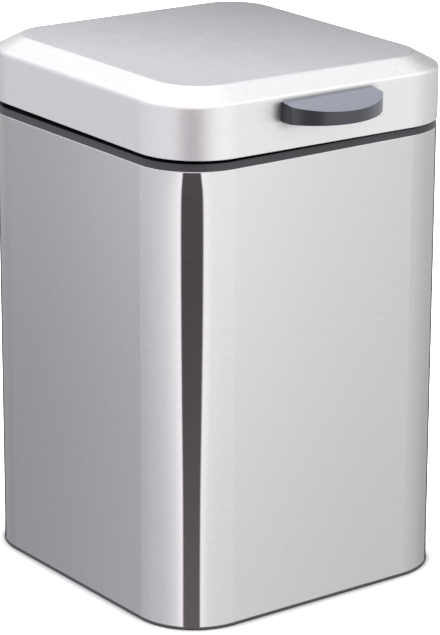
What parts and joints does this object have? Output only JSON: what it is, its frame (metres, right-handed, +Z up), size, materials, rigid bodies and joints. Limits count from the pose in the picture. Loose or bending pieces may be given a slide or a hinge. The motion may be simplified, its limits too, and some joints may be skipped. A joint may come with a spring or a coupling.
{
  "type": "hanging bathroom bin",
  "caption": "Square bathroom bin with a brushed steel sleeve, dark collar, hinged steel lid with a front pull tab, lift-out bucket and keyhole slots for hanging",
  "frame": {"origin": "on the floor plane, in the middle of the four feet, at the sleeve's vertical centre line", "axes": "+Z up, -Y to the front where the pull tab is, +X to the right of someone facing the rear wall from the front"},
  "size_m": [0.2012, 0.2366, 0.3131],
  "materials": {
    "steel": "fine horizontal brushing",
    "plate_steel": "galvanised sheet",
    "bright_steel": "zinc plated",
    "rivet_alloy": "plain aluminium",
    "collar_plastic": "dark grey satin moulding",
    "base_plastic": "dark grey moulding",
    "liner_plastic": "dark grey moulding",
    "tab_plastic": "satin slate grey moulding",
    "bucket_plastic": "grey moulding",
    "rubber": "plain black rubber"
  },
  "bodies": {
    "bin": {"body_shell": "steel", "base_pan": "base_plastic", "foot_front_left": "rubber", "foot_front_right": "rubber", "foot_rear_left": "rubber", "foot_rear_right": "rubber", "collar": "collar_plastic", "hinge_pin": "bright_steel", "pin_cap_left": "bright_steel", "pin_cap_right": "bright_steel", "hanger_plate": "plate_steel", "hanger_rivets": "rivet_alloy"},
    "lid": {"lid_shell": "steel", "lid_liner": "liner_plastic", "pull_tab": "tab_plastic", "tab_screws": "bright_steel", "rear_screws": "bright_steel", "bumper_front_left": "rubber", "bumper_front_right": "rubber", "bumper_rear_left": "rubber", "bumper_rear_right": "rubber"},
    "bucket": {"inner_bucket": "bucket_plastic"}
  },
  "joints": [
    {"name": "lid_hinge", "type": "hinge", "parent": "bin", "child": "lid", "pos_m": [0, 0.0986, 0.2859], "axis": [-1, 0, 0], "range_deg": [0, 95]},
    {"name": "bucket_lift", "type": "slide", "parent": "bin", "child": "bucket", "axis": [0, 0, 1], "range_m": [0, 0.024]}
  ]
}
